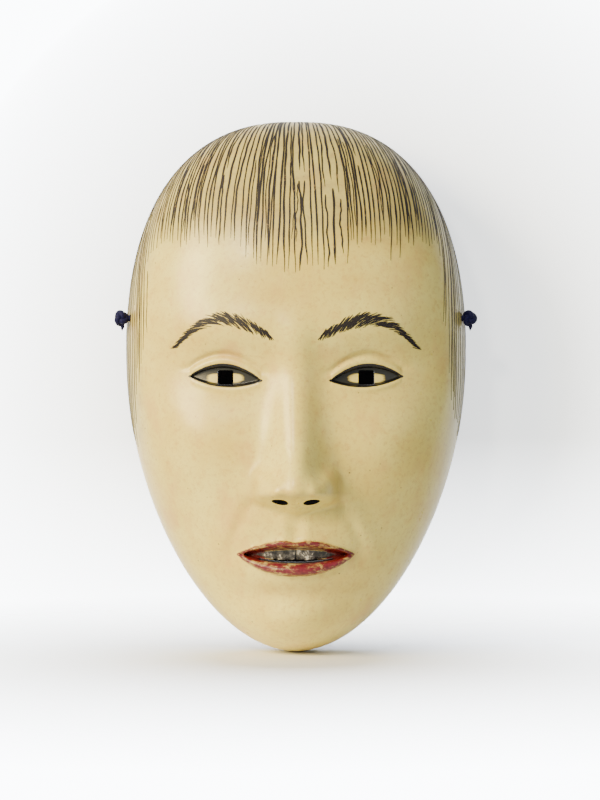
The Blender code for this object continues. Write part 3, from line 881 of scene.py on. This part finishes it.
def cutterPrism(name, outline, nearDepth, farDepth):  # straight from front to back through the wall
    bpy.ops.mesh.primitive_circle_add(vertices=len(outline), radius=1, fill_type="NGON")
    made = named(bpy.context.object, name)
    flat = np.array(outline, dtype=float)
    setCoords(made, toRow(flat[:, 0], np.full(len(flat), float(nearDepth)), flat[:, 1]))
    openEdit(made, "FACE", "SELECT")
    move = (0, (nearDepth - farDepth) * mm, 0)
    bpy.ops.mesh.extrude_region_move(TRANSFORM_OT_translate={"value": move})
    closeEdit(outward=True)
    return made


def cutterRod(name, start, way, width, height, length):
    way = Vector(way).normalized()
    start = Vector(toRow(*start))
    bpy.ops.mesh.primitive_cylinder_add(vertices=40, radius=0.5 * mm, depth=length * mm, end_fill_type="NGON")
    made = named(bpy.context.object, name)
    made.scale = (width, height, 1)
    made.rotation_euler = way.to_track_quat("Z", "Y").to_euler()
    made.location = start + way * length * mm / 2
    bakePlace(made)
    return made


def squareOutline(across, up, width, height, corner):
    points = []
    for turn in range(4):
        for step in range(5):
            angle = math.pi / 2 * (turn + step / 4)
            right = 1 if turn in (0, 3) else -1
            top = 1 if turn in (0, 1) else -1
            x = across + right * (width / 2 - corner) + corner * math.cos(angle)
            points.append((x, up + top * (height / 2 - corner) + corner * math.sin(angle)))
    return points


def slotOutline(steps=60):  # below the teeth, between the lips
    half = face["mouthHalf"] - 1.2
    across = np.linspace(-half, half, steps)
    drop = face["teethDrop"] * (1 - (across / half) ** 2) ** 0.3
    top = mouthZ - drop - 0.45 * toothShape(across)
    bottom = mouthLines(across)[1] + 0.15
    top, bottom = np.maximum(top, bottom + 0.05), bottom
    upper = list(zip(across, top))
    return upper + list(zip(across, bottom))[::-1]


def openings():
    hole = carving["cordHole"]
    cutters = []
    for side in (1, -1):
        x, z = side * eyeWidth, eyeZ + face["pupilUp"]
        depth = float(facePlace(x, z))
        outline = squareOutline(x, z, *face["pupil"], 0.7)
        cutters.append(cutterPrism("cutPupil", outline, depth + 8, depth - 22))
        slant = math.radians(face["nostrilSlant"])
        before = carving["domeDepth"] + 0.9 * face["noseHeight"]
        start = (side * face["nostrilAcross"], before, noseBase - 4.5)
        way = (-0.10 * side, math.cos(slant), math.sin(slant))
        cutters.append(cutterRod("cutNostril", start, way, *face["nostrilSize"], 30))
        start = (side * (carving["width"] / 2 - carving["wall"] - 6), *cordRoute[0][1:])
        cutters.append(cutterRod("cutCordHole", start, (side, 0, 0), hole, hole, carving["wall"] + 12))
    slot = cutterPrism("cutSlot", slotOutline(), 90, 30)
    return joined([slot, *cutters], "openings")


def coat(part, index):  # one of the shell's three finishes all over
    for name in ("gofun", "lacquer", "inkAndShade"):
        part.data.materials.append(materials[name])
    part.data.polygons.foreach_set("material_index", [index] * len(part.data.polygons))


def maskShell():
    outer = newGrid("maskShell", shell["frontColumns"], shell["frontRows"])
    for wanted in (nearFeatures, nearEdges, nearLines):
        refine(outer, wanted)
    flat = coords(outer)
    setCoords(outer, toRow(*domePlaces(flat[:, 0], flat[:, 1], 0, faceRelief)))
    inner = newGrid("hollow", shell["hollowColumns"], shell["hollowRows"])
    flat = coords(inner)
    setCoords(inner, toRow(*domePlaces(flat[:, 0], flat[:, 1], carving["wall"], hollowRelief)))
    inner.data.flip_normals()  # the hollow's wall faces the wearer
    coat(outer, 0)
    coat(inner, 1)
    made = joined([outer, inner], "maskShell")
    openEdit(made, "EDGE")
    bpy.ops.mesh.select_non_manifold()
    bpy.ops.mesh.bridge_edge_loops()
    closeEdit()
    for part in made.data.polygons:
        if part.select:
            part.material_index = 1
    bpy.ops.object.mode_set(mode="EDIT")
    bpy.ops.mesh.select_mode(type="FACE")
    bpy.ops.mesh.region_to_loop()
    bpy.ops.mesh.bevel(offset=shell["rimBevel"] * mm, segments=3, affect="EDGES")
    closeEdit()
    cutters = openings()
    coat(cutters, 2)
    cut = made.modifiers.new("openings", "BOOLEAN")
    cut.operation = "DIFFERENCE"
    cut.solver = "EXACT"
    cut.object = cutters
    applyAll(made)
    bpy.data.objects.remove(cutters, do_unlink=True)
    return made


def paintShares(obj):  # where the painter's colours, the dirt and the painted shade in the folds lie, for the materials
    places = coords(obj)
    x, z = places[:, 0] / mm, (places[:, 2] - rimMiddle.z) / mm
    depth = (rimMiddle.y - places[:, 1]) / mm
    inside = eyeInside(x, z)
    share, top, bottom = eyeLids(x)
    thick = 0.45 + 0.95 * unit(np.sin(math.pi * unit(share))) ** 0.6
    upper = thick * 0.62 - np.abs(z - top - 0.20 * thick)
    lower = 0.52 - np.abs(z - bottom)
    past = np.maximum(np.abs(share - 0.5) - 0.515, 0) * eyeWidth
    lidInk = np.maximum(upper, lower) - past
    cx = np.abs(x) - eyeWidth
    outward = np.abs(cx) - 3.2
    patch = ease(outward, -1.5, 0.3) * (1 - ease(outward, 1.4, 5.6))
    patch = patch * np.exp(-(((z - eyeZ - 0.9) / (1.9 - 0.14 * outward)) ** 4))
    eyeWash = np.where(inside > 0, 1.05 * ease(inside, 0, 0.5) - 1.15 * patch, 0)
    gap = mouthInside(x, z)
    lipEdge = np.minimum(lipInside(x, z), 1.1 - gap)
    # fold: the creases beside the nose, above the eyes and under the lower lip, for grime and painted shade
    fold = 0.32 * spot(np.abs(x) - 16.4, z - face["noseTip"] + 2, 1.8, 5.5)
    overEye = unit(1 - np.abs((share - 0.5) / 0.62) ** 3)
    fold += 0.35 * np.exp(-((z - top - 4.9) / 1.2) ** 2) * overEye
    fold += 0.35 * spot(x, z - mouthZ + 13.5, 14, 2.4)
    edgeWear = unit(1.15 - depth / 3.2)
    locks = (1 - ease(depth, 22, 34)) * ease(z, -36, -4)
    marks = {
        "lidInk": lidInk,
        "eyeWash": eyeWash,
        "lipEdge": lipEdge,
        "toothEdge": np.where(depth > 20, gap - 1.0, -9),
        "mouthCorner": unit(1.6 - np.abs(gap - 0.5)) * (np.abs(x) > 12),
        "toothGap": unit(1.3 - 1.6 * toothShape(x)),
        "fold": unit(fold),
        "edgeWear": edgeWear,
        "hairWash": np.maximum(ease(z, 50, 66), locks),
    }
    for name, values in marks.items():
        writeMark(obj, name, values)


mask = maskShell()
paintShares(mask)
pickOnly(mask)
bpy.ops.object.shade_smooth_by_angle(angle=math.radians(48))
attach(mask, "root")
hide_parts("mask_shell")
print(f"shell carved: {len(mask.data.polygons)} faces")


# painted hair and brows: thin flat strokes of ink that lie on the ground

ink = {"proud": 0.05, "thick": 0.16, "rows": 34, "finest": 0.10}
draw = random.Random(11)


def inkStrokes(name, strokes, finish):  # each stroke: its middle line, the surface's normals, its widths
    rows = len(strokes[0][0])
    made = newGrid(name, 3 * len(strokes) - 1, rows - 1, 1)
    flat = coords(made) + 0.5
    column = np.rint(flat[:, 0] * (3 * len(strokes) - 1)).astype(int)
    row = np.rint(flat[:, 1] * (rows - 1)).astype(int)
    middle = np.array([stroke[0] for stroke in strokes])
    normal = np.array([stroke[1] for stroke in strokes])
    width = np.array([stroke[2] for stroke in strokes])
    across = np.cross(np.gradient(middle, axis=1), normal)
    across /= np.linalg.norm(across, axis=2)[:, :, None]
    which, part = column // 3, column % 3 - 1
    off = (part * width[which, row] / 2 * mm)[:, None]
    raised = ink["proud"] * mm * normal[which, row]
    setCoords(made, middle[which, row] + across[which, row] * off + raised)
    between = [len({which[vertex] for vertex in part.vertices}) > 1 for part in made.data.polygons]
    choose(made, "FACE", between)  # the faces that would join one stroke to the next
    bpy.ops.mesh.delete(type="FACE")
    closeEdit()
    sample = made.data.polygons[0]
    nearest = np.argmin(np.linalg.norm(middle[0] - np.array(sample.center), axis=1))
    wall = made.modifiers.new("thickness", "SOLIDIFY")
    wall.thickness = ink["thick"] * mm
    wall.offset = -1 if np.dot(sample.normal, normal[0][nearest]) > 0 else 1
    applyAll(made)
    openEdit(made, "FACE")
    closeEdit(outward=True)
    bpy.ops.object.shade_smooth_by_angle(angle=math.radians(60))
    made.data.materials.append(materials[finish])
    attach(made, "root")
    return made


def normalsOf(place, first, second):  # from how the place moves with its two measures
    step = 1e-3
    along = place(first + step, second) - place(first - step, second)
    up = place(first, second + step) - place(first, second - step)
    turned = np.cross(up, along)
    turned /= np.linalg.norm(turned, axis=-1)[..., None]
    return turned


def onDome(across, up):
    return toRow(*domePlaces(across, up, 0, faceRelief))


def onFace(x, z):
    return toRow(x, facePlace(x, z), z)


def waver(count, lengths):  # a smooth wandering line, from several slow waves
    t = np.linspace(0, 1, count)
    line = 0
    for turns, size in lengths:
        line = line + draw.uniform(-size, size) * np.sin(2 * math.pi * (t * turns + draw.random()))
    return line


hair = {
    "spacing": 0.0182,  # of half the dome's width: about 1.8 mm in the middle
    "reach": 84.0,  # about how many millimetres that measure comes to
    "top": 105.6,
    "fringe": 57.0,  # where the fringe ends, above the middle
    "tuft": 47.0,
    "tuftHalf": 13.0,
    "lockFrom": 0.66,  # share of the way round to the rim
    "lockTop": 40.0,
    "lockEnd": -45.0,
    "sideFrom": 0.6,  # share of the way from which the fringe comes down to the locks
    "width": 0.70,
}


def hairTip(across):  # how far down a strand comes, in millimetres above the middle
    x = abs(across) * hair["reach"]
    inTuft = float(1 - ease(x, hair["tuftHalf"] * 0.6, hair["tuftHalf"] * 1.35))
    tip = hair["fringe"] - (hair["fringe"] - hair["tuft"]) * inTuft
    tip += draw.uniform(-3.2, 2.2)
    if abs(across) > hair["sideFrom"]:
        tip -= 14 * (abs(across) - hair["sideFrom"]) / 0.12 * (abs(across) < hair["lockFrom"])
    if abs(across) >= hair["lockFrom"]:
        share = (abs(across) - hair["lockFrom"]) / (1 - hair["lockFrom"])
        tip = hair["lockTop"] + (hair["lockEnd"] - hair["lockTop"]) * share**0.48 + draw.uniform(-7, 7)
    elif draw.random() < 0.06:
        tip -= draw.uniform(4, 9)
    return tip


def strandAlong(across, top, tip, width):
    fine = np.linspace(0.998, -0.6, 260)
    z = domePlaces(np.full(260, across), fine, 0, noRelief)[2]
    ends = np.interp([top, tip], z[::-1], fine[::-1])
    up = np.linspace(ends[0], ends[1], ink["rows"])
    wander = waver(ink["rows"], ((0.8, 0.0050), (2.2, 0.0026), (5.5, 0.0012)))
    lines = np.clip(np.full(ink["rows"], across) + wander, -0.995, 0.995)
    t = np.linspace(0, 1, ink["rows"])
    shape = width * (1 + waver(ink["rows"], ((3.0, 0.16), (7.0, 0.14))))
    shape = shape * unit((1 - t) / 0.16) ** 0.7 * unit(0.55 + t / 0.12)
    return onDome(lines, up), normalsOf(onDome, lines, up), np.maximum(shape, ink["finest"])


def paintedHair():
    strokes = []
    across = -0.992
    while across < 0.993:
        tip = hairTip(across)
        side = abs(across)
        width = hair["width"] * draw.uniform(0.72, 1.2) * (1 - 0.5 * ease(side, 0.35, 0.8))
        top = hair["top"] - (draw.uniform(0, 3) if draw.random() < 0.35 else 0)
        crown = float(domePlaces(np.array([across]), np.array([0.998]), 0, noRelief)[2][0])
        top = min(top, crown)
        if draw.random() < 0.09 and top - tip > 25:  # worn through for a stretch
            gap = draw.uniform(0.25, 0.7) * (top - tip)
            strokes.append(strandAlong(across, top, top - gap, width))
            strokes.append(strandAlong(across, top - gap - draw.uniform(2, 6), tip, width))
        else:
            strokes.append(strandAlong(across, top, tip, width))
        if draw.random() < 0.22:  # a finer strand between two
            beside = min(across + hair["spacing"] * 0.5, 0.99)
            start = crown - draw.uniform(0, 0.5) * (crown - tip)
            strokes.append(strandAlong(beside, start, tip + draw.uniform(2, 12), width * 0.6))
        across += hair["spacing"] * draw.uniform(0.72, 1.3) * (1 + 0.35 * ease(side, 0.35, 0.8))
    made = inkStrokes("paintedHair", strokes, "hairInk")
    print(f"hair painted: {len(strokes)} strands")
    return made


brow = {
    "strokes": 210,
    "innerX": 9.5,
    "outerX": 47.0,
    "rise": 6.5,  # from the inner end to the arch's top
    "peak": 0.52,
    "drop": 11.0,  # from the arch's top to the outer end
    "length": 6.0,
    "width": 0.30,
}


def browLine(share):  # height above the brow's inner end
    climb = brow["rise"] * np.sin(math.pi / 2 * unit(share / brow["peak"]))
    fall = brow["drop"] * unit((share - brow["peak"]) / (1 - brow["peak"])) ** 1.9
    return climb - fall


def paintedBrows():
    span = brow["outerX"] - brow["innerX"]
    strokes = []
    for side in (1, -1):
        for number in range(brow["strokes"]):
            share = (number + draw.uniform(-0.6, 0.6)) / (brow["strokes"] - 1)
            x = brow["innerX"] + span * share
            z = browZ + 1.5 + browLine(share)
            thick = 0.6 + 3.0 * math.sin(math.pi * min(max(share, 0), 1) ** 0.8)
            z += draw.uniform(-0.5, 0.5) * thick
            slope = (browLine(share + 0.02) - browLine(share - 0.02)) / (0.04 * span)
            lean = math.atan(slope) + math.radians(draw.uniform(24, 40)) * (1 - 0.35 * share)
            length = brow["length"] * draw.uniform(0.7, 1.15)
            length *= 0.62 + 0.38 * math.sin(math.pi * min(share, 1))
            t = np.linspace(-0.5, 0.5, 10)
            bend = draw.uniform(0.1, 0.5) * (0.25 - t**2)
            xs = side * (x + length * t * math.cos(lean))
            zs = z + length * t * math.sin(lean) + bend
            widths = brow["width"] * draw.uniform(0.7, 1.25) * np.clip(1 - (2 * t) ** 4, 0.15, 1)
            strokes.append((onFace(xs, zs), normalsOf(onFace, xs, zs), np.maximum(widths, ink["finest"])))
    return inkStrokes("paintedBrows", strokes, "browInk")


paintedHair()
paintedBrows()
print("brows painted")


# cotton pads glued inside

pads = {
    "foreheadPad": {"node": "forehead_pad", "at": (0, 58.0), "size": (50.0, 24.0), "thick": 10.0},
    "cheekPad_right": {"node": "cheek_pad_right", "at": (31.0, -18.0), "size": (22.0, 26.0), "thick": 8.0},
    "cheekPad_left": {"node": "cheek_pad_left", "at": (-31.0, -18.0), "size": (22.0, 26.0), "thick": 8.0},
}
padMake = {
    "columns": 44,
    "rows": 32,
    "glue": 0.5,
    "seam": 0.6,
    "stitch": 2.6,
    "pucker": 0.35,
    "wrinkle": 0.16,
}


def insideWall(x, z):
    return domeDepth(x, z, carving["wall"]) + hollowRelief(x, z)


def cottonPad(name, pad):  # two faces of cloth sewn at the edge, wadded, the front glued to the wall
    made = newGrid(name, padMake["columns"], padMake["rows"])
    flat = coords(made)
    u = flat[:, 0] * np.sqrt(1 - 0.25 * flat[:, 1] ** 2)
    v = flat[:, 1] * np.sqrt(1 - 0.25 * flat[:, 0] ** 2)
    x = pad["at"][0] + u * pad["size"][0] / 2
    z = pad["at"][1] + v * pad["size"][1] / 2
    front = insideWall(x, z) - padMake["glue"]
    edge = unit(1 - np.maximum(np.abs(flat[:, 0]), np.abs(flat[:, 1])))
    loft = (1 - (1 - unit(edge / 0.42)) ** 2.2) ** 0.62
    around = np.arctan2(flat[:, 1] * pad["size"][1], flat[:, 0] * pad["size"][0])
    turns = round(math.pi * (pad["size"][0] + pad["size"][1]) / 2 / padMake["stitch"])
    pucker = padMake["pucker"] * np.sin(around * turns) * np.exp(-((edge - 0.10) / 0.09) ** 2)
    folds = padMake["wrinkle"] * np.sin(x * 0.9 + 2 * np.sin(z * 0.5)) * loft
    crown = (1 - 0.22 * u**2) * (1 - 0.22 * v**2)
    rear = front - padMake["seam"] - (pad["thick"] - 2 * padMake["seam"]) * loft * crown - pucker - folds
    setCoords(made, toRow(x, rear, z))
    weave = made.data.uv_layers.new(name="weave")
    corners = np.empty(len(made.data.loops), dtype=int)
    made.data.loops.foreach_get("vertex_index", corners)
    weave.data.foreach_set("uv", np.stack([x[corners], z[corners]], axis=1).ravel())
    pickOnly(made)
    bpy.ops.object.duplicate()
    under = named(bpy.context.object, name + "Under")
    setCoords(under, toRow(x, front - 0.25 * unit(1 - edge * 8), z))
    made = joined([made, under], name)
    openEdit(made, "EDGE")
    bpy.ops.mesh.select_non_manifold()
    bpy.ops.mesh.bridge_edge_loops()
    closeEdit(outward=True)
    bpy.ops.object.shade_smooth_by_angle(angle=math.radians(50))
    made.data.materials.append(materials["cotton"])
    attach(made, "root")
    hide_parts(pad["node"])
    return made


for name, pad in pads.items():
    cottonPad(name, pad)
print("pads sewn")


# floor, dark card behind the openings as painted shade, light

# metres, unless a note says otherwise
studio = {
    "floor": 6.0,
    "fadeFrom": 0.03,
    "fadeTo": 0.30,
    "paperBehind": 14.0,  # millimetres behind the rim
    "paperSize": 0.6,
    "paperFadeFrom": 0.08,
    "paperFadeTo": 0.19,
    "paperClearFrom": 0.002,  # up from its foot
    "paperClearTo": 0.085,
    "paperLit": 1.5,
    "backdrop": 12.0,
    "worldLeft": 0.95,
    "worldFall": 0.66,
    "cardBehind": 3.0,  # millimetres behind the hollow's wall
    "cardSize": (80.0, 86.0),  # millimetres
    "lightsAimAt": (0, 0, 0.1),
}
lights = {
    "keyLight": {"at": (-1.55, -1.15, 0.85), "size": 1.1, "watts": 92.0, "tint": "#FFE8B2"},
    "glintLight": {"at": (-0.55, -1.35, 0.95), "size": 0.22, "watts": 11.0, "tint": "#FFF6E6"},
    "fillLight": {"at": (1.5, -1.2, 0.5), "size": 1.4, "watts": 3.5, "tint": "#E6EFFF"},
}


def floorMaterial():
    # Seamless studio paper, matt and pale; it thins out into the background round the mask.
    made, add, where = newMaterial("studio_paper", Roughness=0.9, IOR=1.4, Base_Color="#F4F5F7")
    away = add("between", add("length", where), studio["fadeFrom"], studio["fadeTo"])
    return drive(made, Alpha=add("minus", 1.0, away))


def paperMaterialBehind():
    # The same paper standing close behind, there for the soft shadow; seen from the front only.
    lit = {"Emission_Color": "#F4F8FA", "Emission_Strength": studio["paperLit"]}  # by the rest of the room
    made, add, where = newMaterial("studio_paper_behind", Roughness=0.9, IOR=1.4, Base_Color="#F4F8FA", **lit)
    foot = -studio["paperSize"] / 2
    middle = (0.03, rimMiddle.z + foot, 0.0)
    away = add("between", add("distance", where, middle), studio["paperFadeFrom"], studio["paperFadeTo"])
    low, high = (studio[name] + foot for name in ("paperClearFrom", "paperClearTo"))
    clear = add("between", add("split", where), low, high)
    shown = add("power", add("times", add("minus", 1.0, away), clear), 0.5)  # the room behind is far brighter
    return drive(made, Alpha=add("times", shown, add("minus", 1.0, add("backfacing"))))


def shadeCardMaterial():
    # Matt black card: painted shade for what the openings look on to, as when the mask lies on a dark stand.
    # Only its front shows, so the hollow can be seen from behind.
    made, add, _ = newMaterial("painted_shade_card", Roughness=0.95, Base_Color="#0A0B12")
    return drive(made, Alpha=add("minus", 1.0, add("backfacing")))


def onlySeen(obj):  # part of the stage that keeps no light from the mask
    obj.visible_diffuse = False
    obj.visible_shadow = False


def addShadeCard():  # follows the hollow's wall behind the eyes, the nose and the mouth
    card = newGrid("shadeCard", 24, 30, 1)
    flat = coords(card)
    x = flat[:, 0] * studio["cardSize"][0]
    z = (eyeZ + mouthZ) / 2 + flat[:, 1] * studio["cardSize"][1]
    setCoords(card, toRow(x, insideWall(x, z) - studio["cardBehind"], z))
    card.data.materials.append(shadeCardMaterial())
    card.visible_glossy = False
    onlySeen(card)


def addStage():
    addShadeCard()
    bpy.ops.mesh.primitive_plane_add(size=studio["floor"])
    floor = named(bpy.context.object, "studioFloor")
    floor.data.materials.append(floorMaterial())
    at = (0, rimMiddle.y + studio["paperBehind"] * mm, studio["paperSize"] / 2)
    bpy.ops.mesh.primitive_plane_add(size=studio["paperSize"], location=at, rotation=(math.pi / 2, 0, 0))
    paper = named(bpy.context.object, "studioPaper")
    paper.data.materials.append(paperMaterialBehind())
    onlySeen(paper)
    for name, light in lights.items():
        bpy.ops.object.light_add(type="AREA", location=light["at"])
        lamp = bpy.context.object
        lamp.name = name
        lamp.data.shape = "DISK"
        lamp.data.size = light["size"]
        lamp.data.energy = light["watts"]
        lamp.data.color = hexColour(light["tint"])[:3]
        aim = Vector(studio["lightsAimAt"]) - Vector(light["at"])
        lamp.rotation_euler = aim.to_track_quat("-Z", "Y").to_euler()
    world = bpy.data.worlds.new("studio")
    world.use_nodes = True
    bpy.context.scene.world = world
    background = world.node_tree.nodes["Background"]
    add = functools.partial(addNode, world.node_tree)
    way = add("way")
    glow = add("between", add("split", way), 0.93, 0.97)
    rightward = add("between", add("split", way, read="X"), -0.8, 0.8)
    around = add("minus", studio["worldLeft"], add("times", rightward, studio["worldFall"]))
    strength = add("plus", around, add("times", glow, studio["backdrop"]))
    world.node_tree.links.new(strength, background.inputs["Strength"])
    background.inputs["Color"].default_value = hexColour("#F1F6FB")


addStage()
print("stage set")
